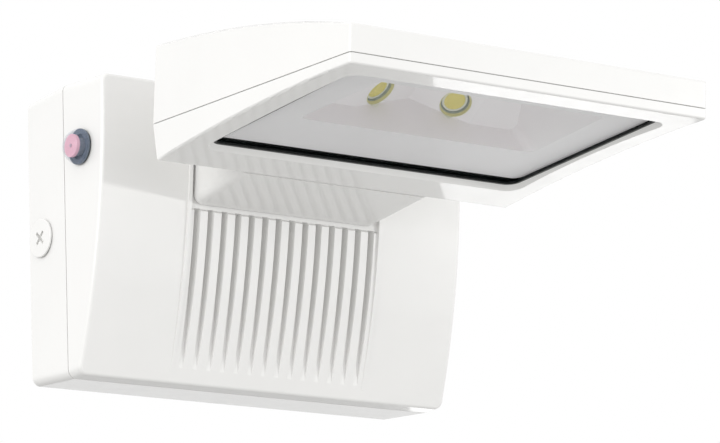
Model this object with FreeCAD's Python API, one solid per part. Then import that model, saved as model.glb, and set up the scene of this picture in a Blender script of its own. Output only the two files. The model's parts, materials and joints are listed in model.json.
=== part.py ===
import FreeCAD, Part
import math
import os

# LED wall light: a box on the wall, a hinged driver housing, a short neck and a flat lamp head.
# Millimetres.  Origin at the centre of the back face that meets the wall.
# +Z is up, +X is to the right seen from the front, and the light faces -Y.

V = FreeCAD.Vector

# ---- wall box and driver housing ---------------------------------------------------------
box_width = 306.0             # at the seam, where the two castings are widest
box_height = 202.4            # at the seam
box_depth = 46.5              # wall face to the middle of the seam
housing_depth = 46.3          # middle of the seam to the housing's straight front
side_draft = 1.5              # how far each side of the wall box draws in at the wall
face_draft = 2.5              # the same for its top and bottom
front_side_draft = 1.0        # how far the housing's sides draw in at its front
front_face_draft = 2.4
casting_wall = 4.0
box_floor = 4.5               # thickness of the wall box's back
corner_radius = 6.0
edge_round = 2.5              # rounding of the housing's front edges
seam_gap = 0.8
front_straight_top = 88.0     # below this height the housing's front curves back to the wall
front_radius = 547.0

# ---- fin field and neck seat in the housing's front --------------------------------------
fin_count = 14                # grooves
fin_pitch = 11.3
groove_floor_width = 3.8
groove_slope = 0.2            # side slope of a groove wall, width per depth
groove_top = 14.5
groove_end = -90.0            # where the grooves run out into the curved front
groove_depth = 6.6
groove_flare = 1.4
rib_chamfer = 1.3
field_half_width = 79.2
rim_width = 2.6               # raised line at each side of the fin field and of the neck
rim_height = 1.8
seat_depth = 5.6              # the neck's seat is sunk this far into the front
seat_top = 96.0
fin_backing = 3.2             # metal left behind the groove floors

# ---- neck --------------------------------------------------------------------------------
neck_half_width = 76.6        # at the housing
neck_half_width_head = 80.0   # at the head
neck_bottom = 17.8
neck_bottom_head = 26.7
neck_top = 92.5
neck_top_head = 98.0
neck_corner = 7.0
neck_wall = 4.0
neck_end_wall = 7.0
neck_gasket_thickness = 1.0
neck_bolt_x = 58.0
neck_bolt_low = 36.0
neck_bolt_high = 82.0
wire_hole_radius = 7.0
wire_height = 63.0

# ---- lamp head ---------------------------------------------------------------------------
head_width = 293.0
head_back = -143.9            # at the seam
head_back_top = -149.5
head_back_bottom = -147.6
head_front_top = -361.4
head_front_bottom = -359.0
head_top_back = 104.6         # heights of the head's four profile corners
head_top_middle = 92.7
head_top_front = 69.0
head_bottom_back = 26.7
head_bottom_middle = 38.6
head_bottom_front = 43.6
head_front_corner = 2.5       # plan radius
head_edge_round = 1.6
frame_post_inset = 13.0       # from the head's sides to the screws that join its halves
head_wall = 3.6
head_seam_back = 52.1
head_seam_front = 50.7
head_seam_gap = 0.7
head_fin_count = 12
head_fin_pitch = 11.3
head_fin_width = 4.6
head_fin_depth = 3.2

# ---- lens opening ------------------------------------------------------------------------
opening_half_width = 131.5
opening_back = -175.5
opening_front = -339.5
opening_corner = 12.0
lip_slope_width = 3.4         # the white sloped lip at the opening's front and back
lip_slope_side = 4.2          # the same at its two ends
lens_plane_back = 30.3        # height of the underside at opening_back
lens_plane_front = 43.1       # and at opening_front: the lens lies parallel to this line
ledge_lift = 3.6              # top of the ledge above that line
ledge_width = 7.5
gasket_lip = 1.6
gasket_reach = 2.0            # how far the gasket's lower lip reaches past the white one
gasket_clearance = 0.4
glass_thickness = 4.0

# ---- reflector ---------------------------------------------------------------------------
sheet = 1.5
flange_side_inset = 5.0       # from the opening's ends to the flange's edge
flange_inset = 10.6           # the same at front and back: the black gasket shows in between
flange_corner = 7.0
flange_clearance = 0.4
cavity_side_inset = 36.5      # from the opening's ends to the reflector's hollow
cavity_back = -237.0
cavity_front = -318.0
cavity_side_slope = 0.66      # inward run per rise of the side walls
cavity_back_slope = 0.30
cavity_corner = 5.0
ridge_back_y = -228.0         # back end of the valley between the two lamp facets
ridge_back_z = 71.3
facet_cant = 0.315            # fall per run of a lamp facet, outward from the middle
facet_half_width = 47.6
facet_rise = 0.705            # rise per run of the facets towards the front
cavity_peak_y = -250.0
cavity_peak_z = 82.0
led_x = 31.3
led_y = -239.5
led_window = 11.0             # radius of the hole for a lamp in the reflector
led_radius = 7.2              # radius of the yellow face of a lamp
led_depth = 3.4               # how far that face lies behind the facet
board_size = 25.0
board_thickness = 1.6

# ---- hinge and closing screw -------------------------------------------------------------
knuckle_radius = 6.0
knuckle_lift = 0.5            # air between a knuckle and the other casting
hinge_pin_radius = 2.5
running_clearance = 0.05
box_knuckle_from = 30.0
knuckle_length = 13.0
knuckle_gap = 0.4
closing_screw_z = -56.0
closing_screw_y = -57.5
screw_m5 = 2.5                # shank radii
screw_m4 = 2.0
thread_clearance = 0.05

# ---- conduit entries, photocell, wall mounting -------------------------------------------
conduit_y = -16.6
conduit_hole_radius = 10.45
plug_flange_radius = 13.1
plug_flange_height = 1.3
plug_gap = 1.0                # room for the O-ring under the flange
back_entry_radius = 11.1
mount_spacing_x = 200.0
mount_spacing_z = 140.0
mount_hole_radius = 3.2
photocell_y = -67.3
photocell_z = 52.6
photocell_radius = 12.2
photocell_barrel_radius = 9.5
photocell_reach = 13.0        # from the housing's side to the top of the dome
photocell_base = 2.3          # the same to the dome's foot
photocell_wall = 1.0
sensor_radius = 7.8
sensor_top = 8.4              # from the housing's side to the sensor's face
sensor_thickness = 2.2

# ---- driver ------------------------------------------------------------------------------
driver_length = 160.0
driver_height = 60.0
driver_thickness = 32.0
driver_front = -62.0
driver_centre_z = -42.0
driver_screw_x = 90.0
driver_screw_dz = 18.0
lead_radius = 1.3

# ---- derived places ----------------------------------------------------------------------
seam_y = -box_depth
front_y = seam_y - housing_depth
half_w = box_width / 2.0
half_h = box_height / 2.0
seat_y = front_y + seat_depth
hinge_z = half_h + knuckle_lift + knuckle_radius
lens_angle = math.atan2(lens_plane_front - lens_plane_back, opening_back - opening_front)
cavity_half_width = opening_half_width - cavity_side_inset


# ---- small helpers -----------------------------------------------------------------------
def block(x0, x1, y0, y1, z0, z1):
    return Part.makeBox(x1 - x0, y1 - y0, z1 - z0, V(x0, y0, z0))


def rod(start, direction, radius, length):
    return Part.makeCylinder(radius, length, V(*start), V(*direction))


def ring(start, direction, outer, inner, length):
    return rod(start, direction, outer, length).cut(rod(start, direction, inner, length))


def fuse(shapes):
    result = shapes[0]
    for shape in shapes[1:]:
        result = result.fuse(shape)
    return result.removeSplitter()


def cut_all(shape, tools):
    for tool in tools:
        shape = shape.cut(tool)
    return shape


def export(name, shape):
    shape.exportStep("parts/" + name + ".step")


def wire_of(edges):
    return Part.Wire(Part.__sortEdges__(edges))


def rounded_loop(place, a0, a1, b0, b1, radii):
    """Closed loop with four rounded corners; place(a, b) gives the 3-D point.
    radii run from corner (a0, b0) round to (a1, b0), (a1, b1), (a0, b1)."""
    corners = [(a0, b0), (a1, b0), (a1, b1), (a0, b1)]
    along = [(1, 0), (0, 1), (-1, 0), (0, -1)]
    edges = []
    for i in range(4):
        (a, b), r = corners[i], radii[i]
        (ia, ib), (oa, ob) = along[i - 1], along[i]
        nxt, rn = corners[(i + 1) % 4], radii[(i + 1) % 4]
        start, end = (a - ia * r, b - ib * r), (a + oa * r, b + ob * r)
        k = 1.0 - math.sqrt(0.5)
        middle = (a - ia * r * k + oa * r * k, b - ib * r * k + ob * r * k)
        if r > 0:
            edges.append(Part.Arc(place(*start), place(*middle), place(*end)).toShape())
        far = (nxt[0] - oa * rn, nxt[1] - ob * rn)
        edges.append(Part.LineSegment(place(*end), place(*far)).toShape())
    return wire_of(edges)


def frame_loop(y, hw, z0, z1, r):
    return rounded_loop(lambda a, b: V(a, y, b), -hw, hw, z0, z1, [r] * 4)


def taper(y0, y1, hw0, hw1, low0, low1, high0, high1, r0, r1):
    """Solid between a rounded rectangle at y0 and one at y1."""
    return Part.makeLoft([frame_loop(y0, hw0, low0, high0, r0), frame_loop(y1, hw1, low1, high1, r1)],
                         True, True)


def side_prism(points, hw, arcs=()):
    """Prism between -hw and hw whose outline lies in the YZ plane.
    arcs maps the index of an edge's first point to a point that its arc passes through."""
    bulges = dict(arcs)
    edges = []
    for i, (y, z) in enumerate(points):
        yn, zn = points[(i + 1) % len(points)]
        start, end = V(-hw, y, z), V(-hw, yn, zn)
        if i in bulges:
            ym, zm = bulges[i]
            edges.append(Part.Arc(start, V(-hw, ym, zm), end).toShape())
        else:
            edges.append(Part.LineSegment(start, end).toShape())
    return Part.Face(wire_of(edges)).extrude(V(2 * hw, 0, 0))


def mirror_x(shape):
    return shape.mirror(V(0, 0, 0), V(1, 0, 0))


def both_sides(shape):
    return Part.Compound([shape, mirror_x(shape)])


def hex_head_screw(start, direction, shank, length, head_radius, head_height, socket):
    """Socket screw: start is where the head's underside seats, direction is the way it is driven."""
    d = V(*direction)
    seat = V(*start)
    head = Part.makeCylinder(head_radius, head_height, seat - d * head_height, d)
    body = head.fuse(Part.makeCylinder(shank, length, seat, d))
    hexagon = Part.makePolygon([V(socket * math.cos(math.radians(a)), socket * math.sin(math.radians(a)), 0)
                                for a in range(0, 361, 60)])
    key = Part.Face(hexagon).extrude(V(0, 0, head_height * 0.6))
    key.Placement = FreeCAD.Placement(seat - d * head_height, FreeCAD.Rotation(V(0, 0, 1), d))
    return body.cut(key).removeSplitter()


def front_at(z):
    """Depth coordinate of the housing's front face at a height."""
    drop = front_straight_top - z
    if drop <= 0:
        return front_y
    return front_y + front_radius - math.sqrt(front_radius ** 2 - drop ** 2)


# ---- wall box ----------------------------------------------------------------------------
def box_outer(inset, y0, y1):
    """Tapered solid of the wall box, drawn in by inset, between two depths."""
    def share(y):
        return min(1.0, -y / box_depth)
    hw = [half_w - side_draft * (1 - share(y)) - inset for y in (y0, y1)]
    hh = [half_h - face_draft * (1 - share(y)) - inset for y in (y0, y1)]
    r = max(corner_radius - inset, 1.5)
    return taper(y0, y1, hw[0], hw[1], -hh[0], -hh[1], hh[0], hh[1], r, r)


def knuckle(x0, x1, y_web, bore):
    """Hinge knuckle with its web down to the casting on the side of y_web."""
    body = rod((x0, seam_y, hinge_z), (1, 0, 0), knuckle_radius, x1 - x0)
    web = block(x0, x1, min(y_web, seam_y + math.copysign(1.2, y_web - seam_y)),
                max(y_web, seam_y + math.copysign(1.2, y_web - seam_y)), half_h - 2.0, hinge_z)
    return body.fuse(web).cut(rod((x0 - 1, seam_y, hinge_z), (1, 0, 0), bore, x1 - x0 + 2))


def back_box():
    rim = seam_y + seam_gap / 2.0
    shell = box_outer(0, 0, rim)
    hollow = box_outer(casting_wall, -box_floor, seam_y - 1)
    shell = shell.cut(hollow)
    inside_x = half_w - side_draft - casting_wall - 1.5
    hubs = [rod((s * (inside_x + 6), conduit_y, 0), (-s, 0, 0), conduit_hole_radius + 4.0, 14.0)
            for s in (-1, 1)]
    ground = rod((60, -1, -60), (0, -1, 0), 5.0, box_floor + 4.0)
    tongue_pad = block(half_w - 16, half_w - casting_wall, rim + 2, rim + 24,
                       closing_screw_z - 12, closing_screw_z + 12)
    x1 = box_knuckle_from + knuckle_length
    knuckles = [knuckle(s * box_knuckle_from if s > 0 else -x1, x1 if s > 0 else -box_knuckle_from,
                        seam_y + 10.0, hinge_pin_radius) for s in (-1, 1)]
    shell = fuse([shell] + hubs + [ground, tongue_pad] + knuckles)
    cuts = [rod((s * (half_w + 5), conduit_y, 0), (-s, 0, 0), conduit_hole_radius, 40) for s in (-1, 1)]
    cuts.append(rod((0, 1, 0), (0, -1, 0), back_entry_radius, box_floor + 10))
    cuts += [rod((sx * mount_spacing_x / 2, 1, sz * mount_spacing_z / 2), (0, -1, 0),
                 mount_hole_radius, box_floor + 10) for sx in (-1, 1) for sz in (-1, 1)]
    cuts.append(rod((60, -box_floor + 1, -60), (0, -1, 0), screw_m4 + thread_clearance, 12))
    cuts += [rod((half_w - 20, tongue_screw_y(), z), (1, 0, 0), screw_m4 + thread_clearance, 14)
             for z in tongue_screw_heights()]
    return cut_all(shell, cuts + [gasket_frame(rim, 1.4, 0.1)])


def gasket_frame(rim, depth, spare):
    """Square frame of the seam gasket's section: centred in the rim, sunk by depth."""
    width = 1.6
    mid = casting_wall / 2.0
    return box_outer(mid - width / 2 - spare, rim + depth, rim - 2).cut(
        box_outer(mid + width / 2 + spare, rim + depth + 1, rim - 3))


def box_gasket():
    rim = seam_y + seam_gap / 2.0
    slab = block(-200, 200, rim - (seam_gap - 0.35), rim + 1.4, -150, 150)
    return gasket_frame(rim, 1.4, 0.0).common(slab)


def conduit_plug():
    """Left plug: thin flange with a cross slot, and a threaded hub, drawn as plain rounds."""
    face_x = -(half_w - side_draft * (1 + conduit_y / box_depth)) - plug_gap
    flange = rod((face_x, conduit_y, 0), (-1, 0, 0), plug_flange_radius, plug_flange_height)
    rim = [e for e in flange.Edges if abs(e.BoundBox.XMin - (face_x - plug_flange_height)) < 0.01
           and e.BoundBox.XLength < 0.01]
    flange = flange.makeFillet(0.5, rim)
    hub = rod((face_x, conduit_y, 0), (1, 0, 0), conduit_hole_radius - thread_clearance, 12.0)
    plug = flange.fuse(hub)
    for angle in (45, 135):
        bar = block(face_x - 5, face_x + 1.6, conduit_y - 1.1, conduit_y + 1.1, -5.6, 5.6)
        bar.rotate(V(0, conduit_y, 0), V(1, 0, 0), angle)
        plug = plug.cut(bar)
    return plug.removeSplitter()


def plug_o_ring():
    face_x = -(half_w - side_draft * (1 + conduit_y / box_depth)) - plug_gap
    return ring((face_x, conduit_y, 0), (1, 0, 0), conduit_hole_radius + 1.6, conduit_hole_radius, 0.55)


def hinge_pin():
    x0 = box_knuckle_from
    length = 2 * knuckle_length + knuckle_gap
    pin = rod((x0, seam_y, hinge_z), (1, 0, 0), hinge_pin_radius, length)
    head = rod((x0 - 1.6, seam_y, hinge_z), (1, 0, 0), hinge_pin_radius + 1.4, 1.6)
    return pin.fuse(head)


def tongue_screw_y():
    return seam_y + 14.0


def tongue_screw_heights():
    return [closing_screw_z - 6.0, closing_screw_z + 6.0]


def tongue_plane():
    return half_w - 16.0


def latch_tongue():
    """Steel plate on the wall box that reaches into the housing; the closing screw clamps it."""
    thick = 2.0
    x1 = tongue_plane()
    plate = block(x1 - thick, x1, closing_screw_y - 7.0, tongue_screw_y() + 8.0,
                  closing_screw_z - 12, closing_screw_z + 12)
    slot = block(x1 - thick - 1, x1 + 1, closing_screw_y - 8.0, closing_screw_y + 5.0,
                 closing_screw_z - 5.0, closing_screw_z + 6.5)
    holes = [rod((x1 - thick - 1, tongue_screw_y(), z), (1, 0, 0), screw_m4 + 0.2, thick + 2)
             for z in tongue_screw_heights()]
    return cut_all(plate, [slot] + holes)


def latch_tongue_screws():
    x = tongue_plane() - 2.0
    return Part.Compound([hex_head_screw((x, tongue_screw_y(), z), (1, 0, 0), screw_m4, 9.0, 3.8, 2.4, 1.3)
                          for z in tongue_screw_heights()])


def ground_screw():
    return hex_head_screw((60, -box_floor - 5.0, -60), (0, 1, 0), screw_m4, 5.9, 4.4, 2.6, 1.5)


# ---- driver housing ----------------------------------------------------------------------
def housing_outer(inset, back):
    """The housing's outside, drawn in by inset, from depth back to the curved front."""
    def half(full, draft, y):
        return full - draft * (seam_y - y) / housing_depth - inset
    deep = front_y - 3.0
    hw = [half(half_w, front_side_draft, y) for y in (back, deep)]
    hh = [half(half_h, front_face_draft, y) for y in (back, deep)]
    r = max(corner_radius - inset, 1.5)
    prism = taper(back, deep, hw[0], hw[1], -hh[0], -hh[1], hh[0], hh[1], 0, 0)
    prism = prism.makeFillet(r, [e for e in prism.Edges if e.BoundBox.YLength > 10])
    low, mid = -half_h - 20.0, 0.0
    top_z = half_h + 20.0
    curve = side_prism([(back + 1, low), (back + 1, top_z), (front_y + inset, top_z),
                        (front_y + inset, front_straight_top), (front_at(low) + inset, low)],
                       half_w + 5, {3: (front_at(mid) + inset, mid)})
    return prism.common(curve)


def rim_line():
    """Raised line on the right of the fin field, fading out at its lower end."""
    z_low, z_mid, z_top = groove_end - 3.0, 0.0, seat_top
    x0 = field_half_width
    sunk = 2.0
    foot = V(x0, front_at(z_low) - 0.1, z_low)
    crest = V(x0, front_at(z_mid) - rim_height * 0.75, z_mid)
    top = V(x0, front_y - rim_height, z_top)
    buried = [V(x0, front_at(z) + sunk, z) for z in (z_top, z_mid, z_low)]
    outline = [top] + buried + [foot]
    edges = [Part.Arc(foot, crest, top).toShape()]
    edges += [Part.LineSegment(a, b).toShape() for a, b in zip(outline, outline[1:])]
    return Part.Face(wire_of(edges)).extrude(V(rim_width, 0, 0))


def groove(x):
    """One tapering groove of the fin field, with the flare at its top."""
    floor_top = front_at(groove_top) + groove_depth
    floor_end = front_at(groove_end)
    mouth = front_y - 8.0
    def half(y):
        return groove_floor_width / 2 + groove_slope * (floor_top - y) / 2
    outline = Part.makePolygon([V(x - half(floor_top), floor_top, groove_top + 0.5),
                                V(x + half(floor_top), floor_top, groove_top + 0.5),
                                V(x + half(mouth), mouth, groove_top + 0.5),
                                V(x - half(mouth), mouth, groove_top + 0.5),
                                V(x - half(floor_top), floor_top, groove_top + 0.5)])
    run = V(0, floor_end - floor_top, groove_end - groove_top)
    body = Part.Face(outline).extrude(run * 1.06)
    wide = half(front_at(groove_top))
    low = groove_top - 2 * groove_flare
    flare = Part.Face(Part.makePolygon([
        V(x - wide + 0.2, mouth, low), V(x + wide - 0.2, mouth, low),
        V(x + wide + groove_flare, mouth, groove_top + 0.5),
        V(x - wide - groove_flare, mouth, groove_top + 0.5),
        V(x - wide + 0.2, mouth, low)])).extrude(V(0, seat_y - 1.5 - mouth, 0))
    return body.fuse(flare)


def knuckle_span():
    start = box_knuckle_from + knuckle_length + knuckle_gap
    return start, start + knuckle_length


def boss(x, z, y_end, radius):
    """Post from inside the housing's front back to y_end."""
    return rod((x, y_end, z), (0, -1, 0), radius, y_end - front_at(z - radius) - 1.0)


def terminal_posts():
    return [(96.0, 62.0), (126.0, 62.0)]


def driver_posts():
    return [(s * driver_screw_x, driver_centre_z + t * driver_screw_dz) for s in (-1, 1) for t in (-1, 1)]


def neck_bolts_at():
    return [(s * neck_bolt_x, z) for s in (-1, 1) for z in (neck_bolt_low, neck_bolt_high)]


def driver_housing():
    rear = seam_y - seam_gap / 2.0
    outer = housing_outer(0, rear)
    front_edges = [e for e in outer.Edges if e.BoundBox.YMax < front_at(-half_h + 12) + 3.0
                   and abs(e.BoundBox.Center.z - front_straight_top) > 1.0]
    outer = outer.makeFillet(edge_round, front_edges)
    hollow = housing_outer(casting_wall, rear + 2.0)
    seat_back = seat_y + casting_wall
    floor_back = front_at(groove_top) + groove_depth + fin_backing
    end_back = front_at(groove_end) + fin_backing + 1.0
    backing = side_prism([(front_y - 5, seat_top + 2), (seat_back, seat_top + 2),
                          (seat_back, groove_top + 8), (floor_back, groove_top + 2),
                          (end_back, groove_end - 1), (front_y - 5, groove_end - 1)],
                         field_half_width + 4.0)
    shell = outer.cut(hollow.cut(backing))
    k0, k1 = knuckle_span()
    bore = hinge_pin_radius + running_clearance
    adds = [rim_line(), mirror_x(rim_line()), knuckle(k0, k1, seam_y - 10.0, bore),
            knuckle(-k1, -k0, seam_y - 10.0, bore)]
    adds += [boss(x, z, driver_front, 5.0) for x, z in driver_posts()]
    adds += [boss(x, z, -66.0, 4.5) for x, z in terminal_posts()]
    adds.append(block(half_w - 17.5, half_w - 2.5, -63.0, seam_y - 4.0, closing_screw_z + 13.5,
                      closing_screw_z + 19))
    shell = fuse([shell] + adds)
    grooves = [groove((i - (fin_count - 1) / 2.0) * fin_pitch) for i in range(fin_count)]
    seat = block(-field_half_width, field_half_width, front_y - 4, seat_y, groove_top, seat_top)
    c = rib_chamfer
    yt = front_at(groove_top)
    chamfer = side_prism([(yt - 2, groove_top + 0.1), (yt + c, groove_top + 0.1),
                          (yt - 2, groove_top - c - 2)], field_half_width)
    shell = cut_all(shell, grooves + [seat, chamfer])
    holes = [rod((x, seat_y - 1, z), (0, 1, 0), screw_m5 + 0.3, 12) for x, z in neck_bolts_at()]
    holes.append(rod((0, seat_y - 1, wire_height), (0, 1, 0), wire_hole_radius, 12))
    holes.append(rod((-half_w - 5, photocell_y, photocell_z), (1, 0, 0),
                     photocell_barrel_radius + 0.2, 20))
    holes.append(rod((half_w + 5, closing_screw_y, closing_screw_z), (-1, 0, 0),
                     screw_m5 + running_clearance, 12))
    holes += [rod((x, driver_front + 1, z), (0, -1, 0), screw_m4 + thread_clearance, 9)
              for x, z in driver_posts()]
    holes += [rod((x, -65, z), (0, -1, 0), 1.5 + thread_clearance, 8) for x, z in terminal_posts()]
    return cut_all(shell, holes)


def photocell_face_x():
    return -(half_w - front_side_draft * (seam_y - photocell_y) / housing_depth)


def photocell_parts():
    """Washer, body, dome, sensor and nut of the button photocell, axis along -X."""
    x = photocell_face_x() - 0.1
    left, right = (-1, 0, 0), (1, 0, 0)

    def at(reach):
        return (x - reach, photocell_y, photocell_z)
    washer = ring(at(0.25), left, photocell_radius - 0.4, photocell_barrel_radius + 0.3, 0.75)
    base = rod(at(1.05), left, photocell_radius, photocell_base - 1.1)
    barrel = rod(at(1.05), right, photocell_barrel_radius, 20.0)
    pocket = rod(at(photocell_base), right, sensor_radius + 0.6, photocell_base - 0.1)
    body = base.fuse(barrel).cut(pocket)
    radius = photocell_radius - 0.1
    height = photocell_reach - photocell_base
    outer = dome(x - photocell_base, radius, height)
    inner = dome(x - photocell_base + 0.1, radius - photocell_wall, height - photocell_wall + 0.1)
    cover = outer.cut(inner)
    foot = rod(at(0.15), left, sensor_radius - 1.6, sensor_top - sensor_thickness)
    disc = rod(at(sensor_top - sensor_thickness), left, sensor_radius, sensor_thickness)
    spot = rod(at(sensor_top - 0.1), left, 1.2, 0.4)
    sensor = foot.fuse(disc).fuse(spot).removeSplitter()
    inside = photocell_face_x() + casting_wall + 0.6
    nut = hexagon_prism(inside + 0.1, 13.5, 4.0).cut(
        rod((inside - 1, photocell_y, photocell_z), right, photocell_barrel_radius + thread_clearance, 8))
    return washer, body, cover, sensor, nut


def dome(x, radius, height):
    """Solid dome standing on the plane at x and pointing to -X: a short wall under a round cap."""
    cap = height * 0.94
    ball = (radius ** 2 + cap ** 2) / (2.0 * cap)
    sphere = Part.makeSphere(ball, V(x - height + ball, photocell_y, photocell_z))
    return rod((x, photocell_y, photocell_z), (-1, 0, 0), radius, height + 1.0).common(sphere)


def hexagon_prism(x, across_corners, length):
    points = [V(x, photocell_y + across_corners * math.cos(math.radians(a)),
                photocell_z + across_corners * math.sin(math.radians(a))) for a in range(0, 361, 60)]
    return Part.Face(Part.makePolygon(points)).extrude(V(length, 0, 0))


def closing_screw():
    """Captive screw through the housing's right side into the nut behind the tongue."""
    face = half_w - front_side_draft * (seam_y - closing_screw_y) / housing_depth
    return hex_head_screw((face + 0.3, closing_screw_y, closing_screw_z), (-1, 0, 0),
                          screw_m5, 27.5, 4.4, 2.8, 1.7)


def closing_nut():
    """Square nut held in the housing behind the tongue."""
    x1 = tongue_plane() - 2.6
    y, z = closing_screw_y, closing_screw_z
    nut = block(x1 - 4.0, x1, y - 4.2, y + 4.2, z - 4.2, z + 4.2)
    arm = block(x1 - 4.0, x1, y - 4.2, y + 3.0, z + 4.2, z + 19.0)
    bridge = block(x1 - 4.0, half_w - 17.5, y - 4.2, y + 3.0, z + 13.5, z + 19.0)
    return nut.fuse(arm).fuse(bridge).removeSplitter().cut(
        rod((x1 - 9, y, z), (1, 0, 0), screw_m5 + running_clearance, 14))


# ---- driver and wiring -------------------------------------------------------------------
def driver():
    z0 = driver_centre_z - driver_height / 2.0
    y0 = driver_front + 1.6
    case = block(-driver_length / 2, driver_length / 2, y0, y0 + driver_thickness - 1.6, z0,
                 z0 + driver_height)
    case = case.makeFillet(2.0, [e for e in case.Edges if e.BoundBox.XLength > 100])
    plate = block(-driver_screw_x - 8, driver_screw_x + 8, driver_front, driver_front + 1.6,
                  z0 + 4, z0 + driver_height - 4)
    body = case.fuse(plate).removeSplitter()
    holes = [rod((x, driver_front - 1, z), (0, 1, 0), screw_m4 + 0.3, 4) for x, z in driver_posts()]
    return cut_all(body, holes)


def driver_screws():
    seat = driver_front + 1.6
    return Part.Compound([hex_head_screw((x, seat, z), (0, -1, 0), screw_m4, 8.0, 3.8, 2.4, 1.3)
                          for x, z in driver_posts()])


def terminal_block():
    (xa, z), (xb, _) = terminal_posts()
    body = block(xa - 6, xb + 6, -66.0, -54.0, z - 9, z + 9)
    poles = 3
    step = (xb - xa) / (poles + 1)
    cuts = [rod((xa + step * (i + 1), -50, z + 4.0), (0, -1, 0), 2.4, 12) for i in range(poles)]
    cuts += [rod((xa + step * (i + 1), -60, z - 10), (0, 0, 1), 2.0, 12) for i in range(poles)]
    cuts += [rod((x, -70, z), (0, 1, 0), 1.7, 20) for x in (xa, xb)]
    cuts += [rod((x, -57, z), (0, 1, 0), 3.2, 4) for x in (xa, xb)]
    return cut_all(body, cuts)


def terminal_screws():
    (xa, z), (xb, _) = terminal_posts()
    step = (xb - xa) / 4.0
    clamps = [hex_head_screw((xa + step * (i + 1), -57.0, z + 4.0), (0, -1, 0), 1.4, 4.5, 2.2, 1.6, 0.9)
              for i in range(3)]
    fixings = [hex_head_screw((x, -57.0, z), (0, -1, 0), 1.5, 15.5, 3.0, 2.0, 1.1) for x in (xa, xb)]
    return Part.Compound(clamps + fixings)


def lead(points, radius, note):
    """Tube along straight runs joined by tangent arcs; prints its arc radii and checks its volume."""
    pts = [V(*p) for p in points]
    lengths = [(pts[i + 1] - pts[i]).Length for i in range(len(pts) - 1)]
    edges, cursor, radii = [], pts[0], []
    for i in range(1, len(pts) - 1):
        a = (pts[i - 1] - pts[i]).normalize()
        b = (pts[i + 1] - pts[i]).normalize()
        trim = 0.45 * min(lengths[i - 1], lengths[i])
        half_open = a.getAngle(b) / 2.0
        r = trim * math.tan(half_open)
        radii.append(round(r, 1))
        t0, t1 = pts[i] + a * trim, pts[i] + b * trim
        centre_line = (a + b).normalize()
        centre = pts[i] + centre_line * (r / math.sin(half_open))
        middle = centre - centre_line * r
        edges.append(Part.LineSegment(cursor, t0).toShape())
        edges.append(Part.Arc(t0, middle, t1).toShape())
        cursor = t1
    edges.append(Part.LineSegment(cursor, pts[-1]).toShape())
    path = Part.Wire(edges)
    start = (pts[1] - pts[0]).normalize()
    profile = Part.Wire([Part.makeCircle(radius, pts[0], start)])
    tube = path.makePipeShell([profile], True, False)
    expected = math.pi * radius ** 2 * path.Length
    print(note, "length", round(path.Length, 1), "arc radii", radii,
          "volume ratio", round(tube.Volume / expected, 4))
    return tube


def led_lead(side):
    """From the driver up to the neck, along it and down to one lamp's board."""
    x = 3.2 * side
    y_in = driver_front + 12.0
    ex, ey, ez = lead_end(side)
    return lead([(14.0 * side, y_in, driver_centre_z + driver_height / 2),
                 (14.0 * side, y_in, 12.0), (x, y_in - 2.0, 44.0), (x, -74.0, wire_height),
                 (x, -118.0, wire_height + 0.4), (x, -166.0, wire_height), (x + 8.0 * side, -194.0, 72.0),
                 (ex, ey + 18.0, ez + 4.0), (ex, ey, ez)], lead_radius, "led lead")


def lead_end(side):
    """Where a lead meets the inner edge of its lamp's board."""
    centre, normal = facet(side)
    up = facet_up(side)
    place = (centre - normal * (led_depth + 1.0 + board_thickness / 2)
             - up * (board_size / 2 + 1.0 + lead_radius + 0.15))
    return place.x, place.y, place.z


def photocell_lead():
    x = photocell_face_x() + 19.2
    end_x = -driver_length / 2 + 10.0
    return lead([(x, photocell_y, photocell_z), (x + 14.0, photocell_y, photocell_z),
                 (x + 21.0, photocell_y + 3.0, 36.0), (x + 30.0, -56.0, 15.0),
                 (end_x - 12.0, -51.0, 4.0), (end_x, -50.0, 0.0),
                 (end_x, -50.0, driver_centre_z + driver_height / 2)], lead_radius, "photocell lead")


def supply_lead(index):
    """From a pole of the terminal block down to the driver's top."""
    (xa, z), (xb, _) = terminal_posts()
    x = xa + (xb - xa) / 4.0 * (index + 1)
    top = driver_centre_z + driver_height / 2
    xd = 40.0 + 10.0 * index
    down = 5.0 * index
    return lead([(x, -60.0, z - 9.0), (x, -60.0, z - 26.0 - down), (x - 12.0, -56.0, 18.0 - down),
                 (xd, -50.0, 8.0 - down), (xd, -50.0, top)], lead_radius, "supply lead")


# ---- neck --------------------------------------------------------------------------------
def neck_at(y, inset):
    """Rounded section of the neck at a depth, drawn in by inset."""
    start = seat_y - neck_gasket_thickness
    share = (y - start) / (head_back_bottom - start)
    hw = neck_half_width + (neck_half_width_head - neck_half_width) * share - inset
    low = neck_bottom + (neck_bottom_head - neck_bottom) * share + inset
    high = neck_top + (neck_top_head - neck_top) * share - inset
    return frame_loop(y, hw, low, high, max(neck_corner - inset, 1.5))


def neck():
    start = seat_y - neck_gasket_thickness
    end = head_back_bottom - 6.0
    solid = Part.makeLoft([neck_at(start, 0), neck_at(end, 0)], True, True)
    solid = solid.cut(head_outer(-neck_gasket_thickness))
    hollow = Part.makeLoft([neck_at(start - neck_end_wall, neck_wall),
                            neck_at(head_back + neck_end_wall, neck_wall)], True, True)
    cuts = [hollow, rod((0, start + 1, wire_height), (0, -1, 0), wire_hole_radius, 90)]
    cuts += [rod((x, start + 1, z), (0, -1, 0), screw_m5 + thread_clearance, 14) for x, z in neck_bolts_at()]
    cuts += [rod((x, end - 1, z), (0, 1, 0), screw_m5 + thread_clearance, 20) for x, z in head_bolts_at()]
    return cut_all(solid, cuts)


def head_bolts_at():
    return [(s * neck_bolt_x, z) for s in (-1, 1) for z in (58.0, 88.0)]


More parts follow.
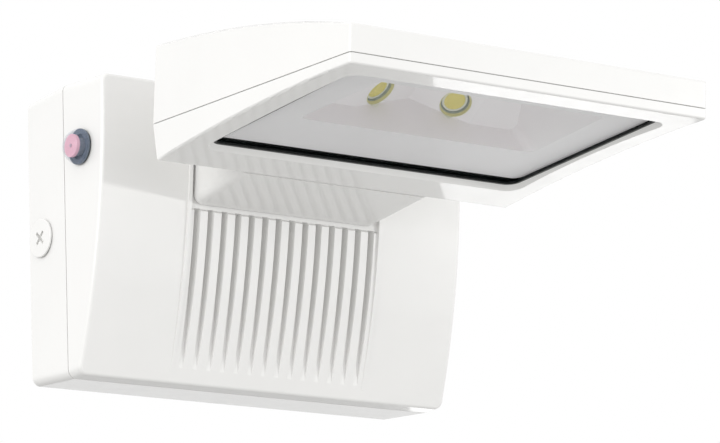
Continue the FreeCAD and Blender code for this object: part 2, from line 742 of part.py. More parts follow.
def neck_rear_gasket():
    loop = neck_at(seat_y - neck_gasket_thickness, 1.0)
    plate = Part.Face(loop).extrude(V(0, neck_gasket_thickness, 0))
    cuts = [rod((x, seat_y + 2, z), (0, -1, 0), screw_m5 + 0.4, 5) for x, z in neck_bolts_at()]
    cuts.append(rod((0, seat_y + 2, wire_height), (0, -1, 0), wire_hole_radius + 0.2, 5))
    cuts.append(Part.Face(neck_at(seat_y - neck_gasket_thickness, 22.0)).extrude(
        V(0, neck_gasket_thickness, 0)).cut(
        rod((0, seat_y + 2, wire_height), (0, -1, 0), wire_hole_radius + 5.0, 5)))
    return cut_all(plate, cuts)


def neck_front_gasket():
    """Thin seal that follows the head's back face inside the neck's outline."""
    y_far = head_back_bottom - 6.0
    core = Part.makeLoft([neck_at(head_back + 8.0, 1.0), neck_at(y_far, 1.0)], True, True)
    sheet_solid = core.common(head_outer(-neck_gasket_thickness)).cut(head_outer(0))
    cuts = [rod((x, y_far, z), (0, 1, 0), screw_m5 + 0.4, 20) for x, z in head_bolts_at()]
    cuts.append(rod((0, y_far, wire_height), (0, 1, 0), wire_hole_radius + 0.2, 20))
    return cut_all(sheet_solid, cuts)


def neck_rear_bolts():
    y = seat_y + casting_wall
    return Part.Compound([hex_head_screw((x, y, z), (0, -1, 0), screw_m5, 16.0, 4.4, 3.0, 1.9)
                          for x, z in neck_bolts_at()])


def neck_front_bolts():
    return Part.Compound([hex_head_screw((x, bolt_pad_y(), z), (0, 1, 0), screw_m5, 17.0, 4.4, 3.0, 1.9)
                          for x, z in head_bolts_at()])


def bolt_pad_y():
    """Flat inside face of the head's back wall where the neck bolts seat."""
    return head_back_top - head_wall - 1.0


def wire_bushings():
    """Rubber bushings for the leads, one in each end of the neck."""
    bore = wire_hole_radius - 1.6
    rear = ring((0, seat_y + casting_wall, wire_height), (0, -1, 0), wire_hole_radius, bore,
                casting_wall + neck_gasket_thickness + neck_end_wall)
    front = ring((0, bolt_pad_y(), wire_height), (0, 1, 0), wire_hole_radius, bore,
                 head_back + neck_end_wall - bolt_pad_y())
    return Part.Compound([rear, front])


# ---- lamp head ---------------------------------------------------------------------------
def head_outer(inset):
    """The whole head's outside, drawn in by inset (or grown, for a negative inset)."""
    y_mid = (head_back_top + head_front_top) / 2.0
    side = side_prism([(head_back_bottom - inset, head_bottom_back + inset),
                       (head_back - inset, head_seam_back),
                       (head_back_top - inset, head_top_back - inset),
                       (head_front_top + inset, head_top_front - inset),
                       (head_front_bottom + inset, head_bottom_front + inset)],
                      head_width / 2.0 - inset,
                      {2: (y_mid, head_top_middle - inset), 4: (y_mid, head_bottom_middle + inset)})
    front = [e for e in side.Edges if e.BoundBox.YMax < head_front_bottom + 8 and e.BoundBox.ZLength > 10]
    return side.makeFillet(max(head_front_corner - inset, 2.0), front)


def seam_slab(low, high):
    """Everything between two planes parallel to the head's seam, at these heights from it."""
    y0, y1 = head_back + 60.0, head_front_top - 60.0
    slope = (head_seam_back - head_seam_front) / (head_back - head_front_top)
    def at(y, off):
        return head_seam_back + slope * (y - head_back) + off
    return side_prism([(y0, at(y0, low)), (y0, at(y0, high)), (y1, at(y1, high)), (y1, at(y1, low))],
                      head_width)


def frame_posts():
    """Places of the screws that hold the lens frame to the head."""
    hw = head_width / 2.0
    inset = frame_post_inset
    return ([(s * (hw - inset), head_front_top + inset) for s in (-1, 1)]
            + [(s * (hw - inset), head_back_top - inset) for s in (-1, 1)]
            + [(s * 45.0, head_front_top + 9.0) for s in (-1, 1)]
            + [(s * 100.0, head_back_top - inset) for s in (-1, 1)])


def post_seat(y):
    """Height at which the head of a frame screw seats."""
    slope = (head_seam_back - head_seam_front) / (head_back - head_front_top)
    return head_seam_back + slope * (y - head_back) + 9.0


def head_fins():
    """Shallow cooling grooves sunk in the head's top, fading out towards the front."""
    y0, y1 = -172.0, -318.0
    z0 = 101.0
    cutters = []
    for i in range(head_fin_count):
        x = (i - (head_fin_count - 1) / 2.0) * head_fin_pitch
        w = head_fin_width / 2.0
        edges = [Part.LineSegment(V(x - w, y0, 130), V(x - w, y0, z0)).toShape(),
                 Part.Arc(V(x - w, y0, z0), V(x - w, (y0 + y1) / 2, 93.9 - head_fin_depth),
                          V(x - w, y1, 81.5)).toShape(),
                 Part.LineSegment(V(x - w, y1, 81.5), V(x - w, y1, 130)).toShape(),
                 Part.LineSegment(V(x - w, y1, 130), V(x - w, y0, 130)).toShape()]
        cutters.append(Part.Face(wire_of(edges)).extrude(V(2 * w, 0, 0)))
    return cutters


def head_top():
    outer = rounded_head().common(seam_slab(head_seam_gap / 2.0, 100))
    roof = block(-76, 76, -325, -165, 60, 130).common(head_outer(head_wall)).cut(
        head_outer(head_wall + head_fin_depth + 0.6))
    hollow = head_outer(head_wall).common(seam_slab(-20, 100)).cut(roof)
    shell = outer.cut(hollow)
    pad = block(-neck_bolt_x - 14, neck_bolt_x + 14, bolt_pad_y(), head_back, head_seam_back + 1.0, 98.0)
    pad = pad.common(head_outer(1.0))
    posts = [rod((x, y, head_seam_back - 10), (0, 0, 1), 7.4, 80).common(head_outer(1.0)).common(
        seam_slab(head_seam_gap / 2.0, 100)) for x, y in frame_posts()]
    shell = fuse([shell, pad] + posts)
    cuts = head_fins()
    cuts += [rod((x, y, post_seat(y)), (0, 0, 1), 5.0, 80) for x, y in frame_posts()]
    cuts += [rod((x, y, 40), (0, 0, 1), screw_m5 + 0.3, 60) for x, y in frame_posts()]
    cuts += [rod((x, bolt_pad_y() - 1, z), (0, 1, 0), screw_m5 + 0.3, 20) for x, z in head_bolts_at()]
    cuts.append(rod((0, bolt_pad_y() - 1, wire_height), (0, 1, 0), wire_hole_radius, 20))
    cuts.append(head_seal(0.1))
    return cut_all(shell, cuts)


def rounded_head():
    """The head's outside with its long edges rounded."""
    solid = head_outer(0)
    rims = [e for e in solid.Edges
            if e.BoundBox.ZMin > head_seam_back + 3 or e.BoundBox.ZMax < head_seam_back - 3]
    return solid.makeFillet(head_edge_round, rims)


def head_seal(spare):
    """Seal between the two halves of the head, sunk in the upper one's rim."""
    width = 1.5
    mid = head_wall / 2.0
    band = head_outer(mid - width / 2 - spare).cut(head_outer(mid + width / 2 + spare))
    return band.common(seam_slab(-head_seam_gap / 2.0, 1.2 + spare))


def lens_frame_of(half, back, front, r, low, high):
    """Slab with rounded corners lying parallel to the lens, between two heights above its line."""
    place = lens_place()
    loop = rounded_loop(lambda a, b: V(a, b, low), -half, half, front_run(front), front_run(back), [r] * 4)
    solid = Part.Face(loop).extrude(V(0, 0, high - low))
    solid.Placement = place.multiply(solid.Placement)
    return solid


def lens_place():
    """Placement whose XY plane is the lens line, with its origin at the opening's back edge."""
    return FreeCAD.Placement(V(0, opening_back, lens_plane_back),
                             FreeCAD.Rotation(V(1, 0, 0), -math.degrees(lens_angle)))


def front_run(y):
    """Distance along the sloping lens line from the opening's back edge to depth y."""
    return (y - opening_back) / math.cos(lens_angle)


def opening_lip():
    """Cutter that widens downwards through the frame's underside: the sloped white lip."""
    place = lens_place()
    loops = []
    for height in (ledge_lift + 1.0, -6.0):
        inward = lip_slope_width * height / ledge_lift
        half = opening_half_width - lip_slope_side * height / ledge_lift
        loops.append(rounded_loop(lambda a, b, h=height: V(a, b, h), -half, half,
                                  front_run(opening_front + inward), front_run(opening_back - inward),
                                  [opening_corner - inward] * 4))
    solid = Part.makeLoft(loops, True, True)
    solid.Placement = place.multiply(solid.Placement)
    return solid


def recess(low, high, spare):
    """Room above the ledge for the lens and its gasket."""
    grow = ledge_width - lip_slope_width + spare
    return lens_frame_of(opening_half_width + grow, opening_back + grow, opening_front - grow,
                         opening_corner, low, high)


def lens_frame():
    outer = rounded_head().common(seam_slab(-100, -head_seam_gap / 2.0))
    hollow = recess(ledge_lift, 60.0, 0.0)
    shell = outer.cut(hollow)
    back_pocket = block(-128, 128, opening_back + 8.0, head_back - 6.5, 30, 60).common(
        head_outer(head_wall))
    cell_walls = [rod((x, y, 20), (0, 0, 1), 6.5, 60) for x, y in frame_posts()]
    shell = shell.cut(cut_all(back_pocket, cell_walls))
    cuts = [opening_lip()]
    cuts += [rod((x, y, post_seat(y) - 22.0), (0, 0, 1), screw_m5 + thread_clearance, 30)
             if y > opening_front else rod((x, y, post_seat(y) - 14.2), (0, 0, 1),
                                           screw_m5 + thread_clearance, 20)
             for x, y in frame_posts()]
    return cut_all(shell, cuts)


def lens_frame_screws():
    screws = []
    for x, y in frame_posts():
        length = 20.0 if y > opening_front else 13.5
        screws.append(hex_head_screw((x, y, post_seat(y)), (0, 0, -1), screw_m5, length, 4.4, 3.0, 1.9))
    return Part.Compound(screws)


def lens_glass():
    low = ledge_lift + gasket_lip
    grow = ledge_width - lip_slope_width - 2.5
    return lens_frame_of(opening_half_width + grow, opening_back + grow, opening_front - grow,
                         opening_corner - 2.5, low, low + glass_thickness)


def lens_gasket():
    """Black channel section round the glass: narrow lip below, wide lip above, out to the flange."""
    base = ledge_lift
    middle = base + gasket_lip + glass_thickness / 2.0
    high = base + 2 * gasket_lip + glass_thickness
    body = recess(base, high, -gasket_clearance)
    inset = lip_slope_width + gasket_reach
    below = lens_frame_of(opening_half_width - lip_slope_side - gasket_reach, opening_back - inset,
                          opening_front + inset, opening_corner - inset, base - 1, middle)
    above = flange_plate(middle, high + 1, flange_clearance)
    return cut_all(body, [below, lens_glass(), above])


# ---- reflector and lamps -----------------------------------------------------------------
def flange_low():
    return ledge_lift + gasket_lip + glass_thickness + 0.15


def flange_half_width():
    return opening_half_width - flange_side_inset


def flange_plate(low, high, grow):
    """Slab with the outline of the reflector's flange, moved out by grow."""
    return lens_frame_of(flange_half_width() + grow, opening_back - flange_inset + grow,
                         opening_front + flange_inset - grow, flange_corner + grow, low, high)


def lens_z(y, height):
    """Height of the plane that lies this far above the lens line, at depth y."""
    return (lens_plane_back + (opening_back - y) * math.tan(lens_angle)
            + height / math.cos(lens_angle))


def cavity(grow):
    """The reflector's hollow, with its walls moved out by grow."""
    base = flange_low() - (2.0 if grow == 0 else 0.0)
    y_b, y_f = cavity_back, cavity_front
    z_b, z_f = lens_z(y_b, flange_low()), lens_z(y_f, flange_low())
    lean = math.hypot(1.0, cavity_back_slope)
    top = 100.0
    back_top = y_b + cavity_back_slope * (top - z_b)
    push = grow * lean
    rise = math.hypot(cavity_peak_y - y_f, cavity_peak_z - z_f)
    lift = grow * rise / (cavity_peak_y - y_f)
    slope = (cavity_peak_z - z_f) / (cavity_peak_y - y_f)
    drop = 30.0
    side = side_prism([(y_b - cavity_back_slope * drop + push, z_b - drop), (back_top + push, top),
                       (y_f + (top - z_f) / slope, top + lift), (y_f - drop / slope, z_f - drop + lift)],
                      150)
    z_c = (z_b + z_f) / 2.0
    out = grow * math.hypot(1.0, cavity_side_slope)
    half_low = cavity_half_width + cavity_side_slope * drop + out
    half_high = cavity_half_width - cavity_side_slope * (top - z_c) + out
    front = Part.Face(Part.makePolygon([V(-half_low, -400, z_c - drop), V(half_low, -400, z_c - drop),
                                        V(half_high, -400, top), V(-half_high, -400, top),
                                        V(-half_low, -400, z_c - drop)])).extrude(V(0, 300, 0))
    rise_up = grow * math.sqrt(1 + facet_rise ** 2)
    edge_z = ridge_back_z - facet_cant * facet_half_width
    back = 60.0
    dz = -facet_rise * back
    deep = dz - 120.0
    roof = Part.Face(Part.makePolygon([
        V(-150, ridge_back_y + back, deep), V(150, ridge_back_y + back, deep),
        V(150, ridge_back_y + back, edge_z + rise_up + dz),
        V(facet_half_width, ridge_back_y + back, edge_z + rise_up + dz),
        V(0, ridge_back_y + back, ridge_back_z + rise_up + dz),
        V(-facet_half_width, ridge_back_y + back, edge_z + rise_up + dz),
        V(-150, ridge_back_y + back, edge_z + rise_up + dz),
        V(-150, ridge_back_y + back, deep)])).extrude(V(0, -230.0, facet_rise * 230.0))
    solid = roof.common(side).common(front)
    corners = [e for e in solid.Edges if e.BoundBox.ZMin < z_b - 5.0 and e.BoundBox.ZLength > 12]
    solid = solid.makeFillet(cavity_corner + grow, corners)
    return solid.common(lens_frame_of(140, -170, -345, 5.0, base, 80.0))


def reflector():
    low = flange_low()
    body = flange_plate(low, low + sheet, 0.0).fuse(cavity(sheet)).cut(cavity(0))
    cuts = []
    for side in (-1, 1):
        centre, normal = facet(side)
        cuts.append(rod(centre - normal * 6.0, normal, led_window, 10.0))
    return cut_all(body, cuts).removeSplitter()


def facet(side):
    """Centre of a lamp on its facet, and the facet's normal, which points down into the hollow."""
    normal = V(-side * facet_cant, -facet_rise, -1.0).normalize()
    z = ridge_back_z - facet_cant * led_x - facet_rise * (led_y - ridge_back_y)
    return V(side * led_x, led_y, z), normal


def facet_up(side):
    """Direction up the facet, towards the front."""
    _, normal = facet(side)
    across = V(1, 0, 0)
    across = (across - normal * across.dot(normal)).normalize()
    return normal.cross(across) if normal.cross(across).y < 0 else across.cross(normal)


def on_facet(side, shape, depth):
    """Moves a shape built on the XY plane onto a facet, at a depth behind it, +Z along the normal."""
    centre, normal = facet(side)
    up = facet_up(side)
    across = up.cross(normal)
    rotation = FreeCAD.Rotation(across, up, normal, "ZXY")
    shape = shape.copy()
    shape.Placement = FreeCAD.Placement(centre - normal * depth, rotation)
    return shape


def led_parts(side):
    """Board, emitter and collar of one lamp."""
    b = board_size / 2.0
    behind = led_depth + 1.0
    board = on_facet(side, block(-b, b, -b, b, -board_thickness, 0), behind)
    emitter = on_facet(side, rod((0, 0, 0), (0, 0, 1), led_radius, 1.0), behind)
    dam = rod((0, 0, 0), (0, 0, 1), led_radius + 1.5, 1.2).cut(
        rod((0, 0, -1), (0, 0, 1), led_radius + 0.05, 3))
    dam = on_facet(side, dam, behind)
    r0, r1 = led_radius + 1.7, led_window - 0.6
    cone = Part.makeCone(r0, r1, behind, V(0, 0, 0), V(0, 0, 1))
    body = rod((0, 0, 0), (0, 0, 1), led_window + 1.6, behind - sheet - 0.15).fuse(
        rod((0, 0, 0), (0, 0, 1), led_window - 0.15, behind - 0.1))
    collar = on_facet(side, body.cut(cone), behind)
    return board, emitter, dam, collar


def heat_block(side):
    """Aluminium block that carries a lamp's heat up into the head's roof."""
    b = board_size / 2.0 + 1.0
    behind = led_depth + 1.0 + board_thickness
    column = on_facet(side, block(-b, b, -b, b, -60, 0), behind)
    return column.common(head_outer(head_wall + head_fin_depth + 0.8)).common(
        block(-70, 70, -270, -215, 60, 120))


def reflector_standoffs():
    """Posts under the head's roof that press the reflector's flange down on the glass."""
    posts = []
    for side in (-1, 1):
        for y in (opening_back - 30.0, opening_front + 40.0):
            z = lens_z(y, flange_low() + sheet) + 0.3
            column = rod((side * (flange_half_width() - 12.0), y, z), (0, 0, 1), 3.5, 80)
            posts.append(column.common(head_outer(head_wall + 0.1)))
    return Part.Compound(posts)


# ---- build -------------------------------------------------------------------------------
def main():
    os.makedirs("parts", exist_ok=True)
    export("back_box", back_box())
    export("box_gasket", box_gasket())
    export("conduit_plug_left", conduit_plug())
    export("conduit_plug_right", mirror_x(conduit_plug()))
    export("plug_o_rings", both_sides(plug_o_ring()))
    export("hinge_pins", both_sides(hinge_pin()))
    export("latch_tongue", latch_tongue())
    export("latch_tongue_screws", latch_tongue_screws())
    export("ground_screw", ground_screw())
    export("driver_housing", driver_housing())
    washer, body, cover, disc, nut = photocell_parts()
    export("photocell_washer", washer)
    export("photocell_body", body)
    export("photocell_dome", cover)
    export("photocell_sensor", disc)
    export("photocell_nut", nut)
    export("closing_screw", closing_screw())
    export("closing_nut", closing_nut())
    export("driver", driver())
    export("driver_screws", driver_screws())
    export("terminal_block", terminal_block())
    export("terminal_screws", terminal_screws())
    export("led_lead_red", led_lead(-1))
    export("led_lead_black", led_lead(1))
    export("photocell_lead", photocell_lead())
    for index, colour in enumerate(("black", "white", "green")):
        export("supply_lead_" + colour, supply_lead(index))
    export("neck", neck())
    export("neck_rear_gasket", neck_rear_gasket())
    export("neck_front_gasket", neck_front_gasket())
    export("neck_rear_bolts", neck_rear_bolts())
    export("neck_front_bolts", neck_front_bolts())
    export("wire_bushings", wire_bushings())
    export("head_top", head_top())
    export("head_seal", head_seal(0.0))
    export("lens_frame", lens_frame())
    export("lens_frame_screws", lens_frame_screws())
    export("lens_glass", lens_glass())
    export("lens_gasket", lens_gasket())
    export("reflector", reflector())
    export("reflector_standoffs", reflector_standoffs())
    for side, name in ((-1, "left"), (1, "right")):
        board, emitter, dam, collar = led_parts(side)
        export("led_board_" + name, board)
        export("led_emitter_" + name, emitter)
        export("led_dam_" + name, dam)
        export("led_collar_" + name, collar)
        export("heat_block_" + name, heat_block(side))


main()
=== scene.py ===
import json
import math

import bpy
from mathutils import Matrix, Vector

# An LED wall light in metres, in the frame of its CAD design: the wall is the plane y = 0,
# +Z is up and the light faces -Y.

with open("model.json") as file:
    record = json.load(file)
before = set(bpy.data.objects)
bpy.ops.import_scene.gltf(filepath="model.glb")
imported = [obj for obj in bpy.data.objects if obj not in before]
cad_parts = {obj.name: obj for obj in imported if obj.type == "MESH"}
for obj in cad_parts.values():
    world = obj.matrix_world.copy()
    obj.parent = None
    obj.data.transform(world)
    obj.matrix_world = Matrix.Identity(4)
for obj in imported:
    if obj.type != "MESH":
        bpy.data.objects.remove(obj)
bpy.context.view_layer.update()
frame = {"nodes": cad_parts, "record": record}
NODES = frame["nodes"]

SIDES = (("left", -1), ("right", 1))
NECK_GASKETS = ("neck_rear_gasket", "neck_front_gasket")


# ---- camera ------------------------------------------------------------------------------
SENSOR_WIDTH_MM = 36.0
FOCAL_LENGTH_MM = 205.26
CLIP_START, CLIP_END = 0.1, 60.0
CAMERA_PLACE = Vector((-1.6248, -2.2997, -0.6046))
CAMERA_RIGHT = Vector((0.79906, -0.60024, -0.03473))
CAMERA_UP = Vector((-0.10462, -0.19569, 0.97503))
CAMERA_FORWARD = Vector((0.59205, 0.77548, 0.21917))


def make_camera():
    data = bpy.data.cameras.new("camera")
    data.sensor_width = SENSOR_WIDTH_MM
    data.lens = FOCAL_LENGTH_MM
    data.clip_start, data.clip_end = CLIP_START, CLIP_END
    cam = bpy.data.objects.new("camera", data)
    bpy.context.scene.collection.objects.link(cam)
    turn = Matrix((CAMERA_RIGHT, CAMERA_UP, -CAMERA_FORWARD)).transposed()
    cam.matrix_world = Matrix.Translation(CAMERA_PLACE) @ turn.to_4x4()
    bpy.context.scene.camera = cam


# ---- light, floor and world --------------------------------------------------------------
WORLD_STRENGTH = 1.0
FLOOR_REACH, FLOOR_LEVEL = 28.0, -6.0
FLOOR_COLOUR, FLOOR_ROUGHNESS = (0.55, 0.55, 0.545, 1), 0.9
LIGHTS = (
    # name, place, aimed at, size, watts
    ("key", (3.06, -2.67, 0.17), (0.0, -0.15, 0.03), (0.16, 0.16), 38.0),
    ("left", (-3.2, -1.2, 0.7), (-0.1, -0.2, 0.0), (1.8, 1.8), 46.0),
    ("low_front", (-0.3, -1.6, -1.9), (0.0, -0.25, 0.04), (1.6, 1.0), 7.0),
    ("back_card", (0.66, 0.40, -0.27), (0.1, -0.25, 0.04), (0.26, 0.16), 0.25),
)


def area_light(name, place, aim, size, power):
    data = bpy.data.lights.new(name, "AREA")
    data.shape = "RECTANGLE"
    data.size, data.size_y = size
    data.energy = power
    lamp = bpy.data.objects.new(name, data)
    lamp.location = place
    lamp.rotation_mode = "QUATERNION"
    lamp.rotation_quaternion = (Vector(aim) - Vector(place)).to_track_quat("-Z", "Y")
    bpy.context.scene.collection.objects.link(lamp)


def make_surroundings():
    scene = bpy.context.scene
    scene.view_settings.view_transform = "Standard"
    world = bpy.data.worlds.new("studio")
    scene.world = world
    world.use_nodes = True
    background = world.node_tree.nodes["Background"]
    background.inputs["Color"].default_value = (1, 1, 1, 1)
    background.inputs["Strength"].default_value = WORLD_STRENGTH

    mesh = bpy.data.meshes.new("floor")
    corners = [(x * FLOOR_REACH, y * FLOOR_REACH, FLOOR_LEVEL)
               for x, y in ((-1, -1), (1, -1), (1, 1), (-1, 1))]
    mesh.from_pydata(corners, [], [(0, 1, 2, 3)])
    floor = bpy.data.objects.new("floor", mesh)
    scene.collection.objects.link(floor)
    mat, _, bsdf = new_material("pale_floor")
    bsdf.inputs["Base Color"].default_value = FLOOR_COLOUR
    bsdf.inputs["Roughness"].default_value = FLOOR_ROUGHNESS
    mesh.materials.append(mat)

    for light in LIGHTS:
        area_light(*light)


# ---- material parts ----------------------------------------------------------------------
# Noise values below and above this band count as its ends.
NOISE_LOW, NOISE_HIGH = 0.3, 0.7
ROUGHNESS_SPREAD = 0.05
COAT_ROUGHNESS = 0.07


def new_material(name):
    mat = bpy.data.materials.new(name)
    mat.use_nodes = True
    return mat, mat.node_tree, mat.node_tree.nodes["Principled BSDF"]


def node(tree, kind, **settings):
    made = tree.nodes.new(kind)
    for key, value in settings.items():
        setattr(made, key, value)
    return made


def feed(tree, value, socket):
    """Gives an input its value: a number, or another node's output."""
    if isinstance(value, float):
        socket.default_value = value
    else:
        tree.links.new(value, socket)


def place_in_frame(tree):
    """The shaded point, in metres, in the frame the part was designed in."""
    return node(tree, "ShaderNodeTexCoord").outputs["Object"]


def noise(tree, scale, detail, stretch=None):
    """Noise in cells per metre; stretch squeezes the axes."""
    place = place_in_frame(tree)
    if stretch:
        mapping = node(tree, "ShaderNodeMapping")
        mapping.inputs["Scale"].default_value = stretch
        tree.links.new(place, mapping.inputs["Vector"])
        place = mapping.outputs["Vector"]
    tex = node(tree, "ShaderNodeTexNoise")
    tex.inputs["Scale"].default_value = scale
    tex.inputs["Detail"].default_value = detail
    tree.links.new(place, tex.inputs["Vector"])
    return tex.outputs["Fac"]


def colour_between(tree, fac, first, second):
    """From the first colour to the second as the noise rises through its band."""
    made = node(tree, "ShaderNodeValToRGB")
    stops = ((NOISE_LOW, first), (NOISE_HIGH, second))
    for element, (place, colour) in zip(made.color_ramp.elements, stops):
        element.position = place
        element.color = (*colour, 1.0)
    tree.links.new(fac, made.inputs["Fac"])
    return made.outputs["Color"]


def value_between(tree, fac, low, high):
    """From low to high as the noise rises through its band."""
    made = node(tree, "ShaderNodeMapRange")
    made.inputs["From Min"].default_value = NOISE_LOW
    made.inputs["From Max"].default_value = NOISE_HIGH
    made.inputs["To Min"].default_value = low
    made.inputs["To Max"].default_value = high
    tree.links.new(fac, made.inputs["Value"])
    return made.outputs["Result"]


def blend(tree, fac, first, second):
    """Mix of two shaders; fac is a number or a socket."""
    mix = node(tree, "ShaderNodeMixShader")
    feed(tree, fac, mix.inputs["Fac"])
    tree.links.new(first, mix.inputs[1])
    tree.links.new(second, mix.inputs[2])
    return mix.outputs["Shader"]


def maths(tree, operation, first, second):
    """One arithmetic step; each input is a number or a socket."""
    made = node(tree, "ShaderNodeMath", operation=operation)
    feed(tree, first, made.inputs[0])
    feed(tree, second, made.inputs[1])
    return made.outputs["Value"]


def axis_distance(tree, point, axis):
    """Distance in metres from the line through point along axis."""
    offset = node(tree, "ShaderNodeVectorMath", operation="SUBTRACT")
    tree.links.new(place_in_frame(tree), offset.inputs[0])
    offset.inputs[1].default_value = point
    cross = node(tree, "ShaderNodeVectorMath", operation="CROSS_PRODUCT")
    tree.links.new(offset.outputs["Vector"], cross.inputs[0])
    cross.inputs[1].default_value = Vector(axis).normalized()
    length = node(tree, "ShaderNodeVectorMath", operation="LENGTH")
    tree.links.new(cross.outputs["Vector"], length.inputs[0])
    return length.outputs["Value"]


def paint_where(mat, value, test, limit, colour):
    """Puts colour over the finish's own base colour where the value passes the test."""
    tree = mat.node_tree
    base = tree.nodes["Principled BSDF"].inputs["Base Color"]
    mix = node(tree, "ShaderNodeMix", data_type="RGBA")
    # A Mix node's sockets share their names, so its colour sockets go by number.
    factor, under, over = mix.inputs[0], mix.inputs[6], mix.inputs[7]
    tree.links.new(maths(tree, test, value, limit), factor)
    tree.links.new(base.links[0].from_socket, under)
    over.default_value = (*colour, 1.0)
    tree.links.new(mix.outputs[2], base)


def surface(name, colour, roughness, patch, grain, vary=0.03, relief=0.05, depth=0.0002,
            metallic=0.0, coat=0.0, specular=0.5, stretch=None):
    """A finish with slow colour patches, uneven gloss and a fine relief.

    patch and grain are noise scales in cells per metre, depth is the relief in metres.
    """
    mat, tree, bsdf = new_material(name)
    darker, lighter = (tuple(min(1.0, c * share) for c in colour) for share in (1 - vary, 1 + vary))
    tree.links.new(colour_between(tree, noise(tree, patch, 4.0), darker, lighter),
                   bsdf.inputs["Base Color"])
    gloss = value_between(tree, noise(tree, patch * 6, 3.0, stretch),
                          roughness - ROUGHNESS_SPREAD, roughness + ROUGHNESS_SPREAD)
    tree.links.new(gloss, bsdf.inputs["Roughness"])
    bump = node(tree, "ShaderNodeBump")
    bump.inputs["Strength"].default_value = relief
    bump.inputs["Distance"].default_value = depth
    tree.links.new(noise(tree, grain, 2.0, stretch), bump.inputs["Height"])
    tree.links.new(bump.outputs["Normal"], bsdf.inputs["Normal"])
    bsdf.inputs["Metallic"].default_value = metallic
    bsdf.inputs["Specular IOR Level"].default_value = specular
    bsdf.inputs["Coat Weight"].default_value = coat
    bsdf.inputs["Coat Roughness"].default_value = COAT_ROUGHNESS
    return mat


# ---- finishes ----------------------------------------------------------------------------
WHITE = (0.80, 0.795, 0.78)
FINISHES = {
    "white_paint": dict(colour=WHITE, roughness=0.36, vary=0.012, patch=14, grain=1100,
                        depth=0.0001, coat=0.7),
    "plug_paint": dict(colour=WHITE, roughness=0.36, vary=0.012, patch=60, grain=1300),
    "grey_rubber": dict(colour=(0.55, 0.55, 0.54), roughness=0.7, vary=0.06, patch=120,
                        grain=1500, relief=0.2),
    "pale_rubber": dict(colour=(0.82, 0.82, 0.81), roughness=0.6, patch=90, grain=1400,
                        relief=0.1),
    "black_rubber": dict(colour=(0.006, 0.009, 0.009), roughness=0.42, vary=0.3, patch=90,
                         grain=1400, relief=0.12, specular=0.35),
    "zinc_steel": dict(colour=(0.62, 0.62, 0.62), roughness=0.34, vary=0.06, patch=120,
                       grain=2200, relief=0.1, metallic=1.0),
    "stainless": dict(colour=(0.56, 0.55, 0.54), roughness=0.27, vary=0.04, patch=90,
                      grain=2600, relief=0.1, metallic=1.0, stretch=(1, 1, 0.15)),
    "ground_green": dict(colour=(0.05, 0.30, 0.09), roughness=0.3, vary=0.1, patch=150,
                         grain=2200, metallic=0.7),
    "cell_plastic": dict(colour=(0.12, 0.15, 0.19), roughness=0.35, vary=0.08, patch=160,
                         grain=2000),
    "nut_plastic": dict(colour=(0.02, 0.02, 0.022), roughness=0.5, vary=0.2, patch=100,
                        grain=1600),
    "driver_case": dict(colour=(0.70, 0.70, 0.71), roughness=0.36, vary=0.04, patch=60,
                        grain=900, relief=0.2, metallic=1.0, stretch=(0.04, 1, 1)),
    "terminal_plastic": dict(colour=(0.75, 0.73, 0.66), roughness=0.3, vary=0.04, patch=120,
                             grain=1800),
    "wire_red": dict(colour=(0.50, 0.015, 0.012), roughness=0.38, vary=0.08, patch=150,
                     grain=1800),
    "wire_black": dict(colour=(0.012, 0.012, 0.012), roughness=0.4, vary=0.2, patch=150,
                       grain=1800),
    "wire_white": dict(colour=(0.78, 0.78, 0.76), roughness=0.4, vary=0.04, patch=150,
                       grain=1800),
    "wire_green": dict(colour=(0.01, 0.22, 0.035), roughness=0.4, vary=0.08, patch=150,
                       grain=1800),
    "wire_blue": dict(colour=(0.02, 0.05, 0.32), roughness=0.4, vary=0.08, patch=150,
                      grain=1800),
    "reflector_satin": dict(colour=(0.93, 0.895, 0.90), roughness=0.45, vary=0.012, patch=30,
                            grain=1800, relief=0.01, depth=0.00005, specular=0.15),
    "standoff_plastic": dict(colour=(0.7, 0.7, 0.69), roughness=0.5, patch=100, grain=1800),
    "board_white": dict(colour=(0.78, 0.78, 0.75), roughness=0.35, patch=200, grain=2400),
    "phosphor": dict(colour=(0.82, 0.72, 0.26), roughness=0.3, vary=0.12, patch=700,
                     grain=2600, relief=0.2, coat=0.4),
    "dam_white": dict(colour=(0.80, 0.80, 0.72), roughness=0.4, vary=0.04, patch=200,
                      grain=2200),
    "collar_plastic": dict(colour=(0.42, 0.46, 0.43), roughness=0.3, vary=0.05, patch=200,
                           grain=2400),
    "heat_aluminium": dict(colour=(0.7, 0.7, 0.71), roughness=0.4, vary=0.04, patch=80,
                           grain=1500, metallic=1.0, stretch=(1, 0.08, 1)),
    "cell_dome": dict(colour=(0.26, 0.32, 0.42), roughness=0.12, vary=0.05, patch=200,
                      grain=2400, relief=0.03),
    "cell_sensor": dict(colour=(0.30, 0.32, 0.36), roughness=0.4, vary=0.05, patch=300,
                        grain=2400),
}

# Share of the glass that mirrors, and share of the dome that is plainly clear.
GLASS_GLOSS, GLASS_IOR = 0.004, 1.5
DOME_CLEARNESS = 0.90

# The sensor is pink beyond this x, with a grey spot round its axis; metres.
SENSOR_FACE_X, SENSOR_PINK = -0.1588, (1.0, 0.56, 0.64)
SENSOR_CENTRE, SENSOR_AXIS = (0.0, -0.0673, 0.0526), (1, 0, 0)
SPOT_RADIUS, SPOT_GREY = 0.0013, (0.60, 0.42, 0.48)

# Each lamp shines down, forward and towards the middle; radii in metres from its axis.
LAMP_AIM = (0.2493, -0.558, -0.7915)
# Painted reflection: beyond this radius from a lamp's axis the collar is painted with the
# phosphor's yellow, as if mirrored in its cone.
COLLAR_GREY_RADIUS, COLLAR_PAINTED_REFLECTION = 0.0097, (0.74, 0.70, 0.40)
# Painted highlight: within this radius of a lamp's axis the reflector's cut edge is painted white,
# as if catching the light.
WINDOW_RADIUS, WINDOW_PAINTED_HIGHLIGHT = 0.01106, (0.95, 0.95, 0.94)


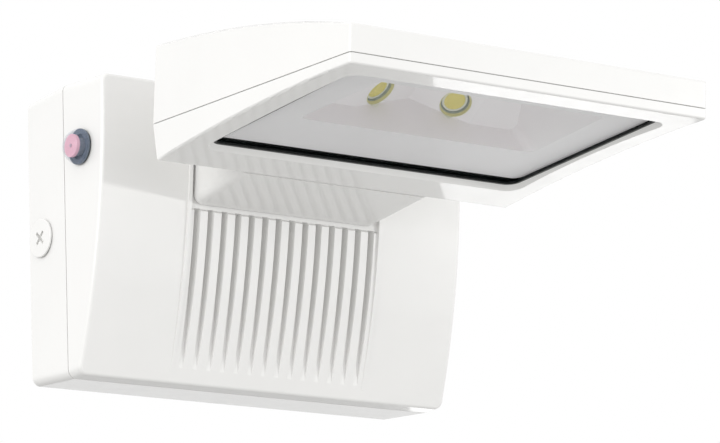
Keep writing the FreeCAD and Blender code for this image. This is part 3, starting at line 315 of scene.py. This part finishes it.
def glass_material():
    """Clear sheet with a faint gloss: shadow and diffuse rays pass straight through it."""
    mat, tree, _ = new_material("lens_glass")
    path = node(tree, "ShaderNodeLightPath")
    clear = node(tree, "ShaderNodeBsdfTransparent")
    clear.inputs["Color"].default_value = (0.96, 0.97, 0.97, 1)
    bend = node(tree, "ShaderNodeBsdfRefraction")
    bend.inputs["Color"].default_value = (0.98, 0.985, 0.985, 1)
    bend.inputs["Roughness"].default_value = 0.0
    bend.inputs["IOR"].default_value = GLASS_IOR
    gloss = node(tree, "ShaderNodeBsdfGlossy")
    gloss.inputs["Color"].default_value = (0.9, 0.9, 0.92, 1)
    tree.links.new(value_between(tree, noise(tree, 18, 3.0), 0.02, 0.06),
                   gloss.inputs["Roughness"])
    solid = blend(tree, GLASS_GLOSS, bend.outputs["BSDF"], gloss.outputs["BSDF"])
    through = maths(tree, "MAXIMUM", path.outputs["Is Shadow Ray"], path.outputs["Is Diffuse Ray"])
    tree.links.new(blend(tree, through, solid, clear.outputs["BSDF"]),
                   tree.nodes["Material Output"].inputs["Surface"])
    return mat


def make_clear(mat):
    """The slate tinted dome lets the sensor inside it show."""
    tree = mat.node_tree
    clear = node(tree, "ShaderNodeBsdfTransparent")
    clear.inputs["Color"].default_value = (0.97, 0.97, 0.98, 1)
    plastic = tree.nodes["Principled BSDF"].outputs["BSDF"]
    tree.links.new(blend(tree, DOME_CLEARNESS, plastic, clear.outputs["BSDF"]),
                   tree.nodes["Material Output"].inputs["Surface"])


def paint_sensor(mat):
    """Grey foot, pink face, grey spot in the middle."""
    tree = mat.node_tree
    split = node(tree, "ShaderNodeSeparateXYZ")
    tree.links.new(place_in_frame(tree), split.inputs["Vector"])
    paint_where(mat, split.outputs["X"], "LESS_THAN", SENSOR_FACE_X, SENSOR_PINK)
    off_axis = axis_distance(tree, SENSOR_CENTRE, SENSOR_AXIS)
    paint_where(mat, off_axis, "LESS_THAN", SPOT_RADIUS, SPOT_GREY)


def lamp_distance(tree, name, side):
    """Distance from the axis through the middle of one lamp's yellow face."""
    corners = [v.co for v in NODES["led_emitter_" + name].data.vertices]
    across, along, rise = LAMP_AIM
    return axis_distance(tree, sum(corners, Vector()) / len(corners), (-side * across, along, rise))


def paint_round_lamps(mat, test, radius, colour):
    """Paints by the distance from the nearer lamp's axis."""
    near = [lamp_distance(mat.node_tree, name, side) for name, side in SIDES]
    paint_where(mat, maths(mat.node_tree, "MINIMUM", *near), test, radius, colour)


def make_finishes():
    finishes = {name: surface(name, **look) for name, look in FINISHES.items()}
    finishes["lens_glass"] = glass_material()
    make_clear(finishes["cell_dome"])
    paint_sensor(finishes["cell_sensor"])
    # The collars are grey deep in the funnel, with a painted yellowish reflection of the phosphor
    # towards its mouth.
    paint_round_lamps(finishes["collar_plastic"], "GREATER_THAN", COLLAR_GREY_RADIUS, COLLAR_PAINTED_REFLECTION)
    # The reflector's cut edges, where the lamps shine through it, carry a painted white highlight.
    paint_round_lamps(finishes["reflector_satin"], "LESS_THAN", WINDOW_RADIUS, WINDOW_PAINTED_HIGHLIGHT)
    return finishes


SHARP_ANGLE = math.radians(28)


def dress_nodes(finishes):
    slots = {row["node"]: row["material_slot"] for row in frame["record"]["subparts"]}
    for name, piece in NODES.items():
        piece.data.materials.clear()
        finish = "pale_rubber" if name in NECK_GASKETS else slots[name]
        piece.data.materials.append(finishes[finish])
        piece.data.shade_smooth()
        piece.data.set_sharp_from_angle(angle=SHARP_ANGLE)


make_camera()
make_surroundings()
dress_nodes(make_finishes())
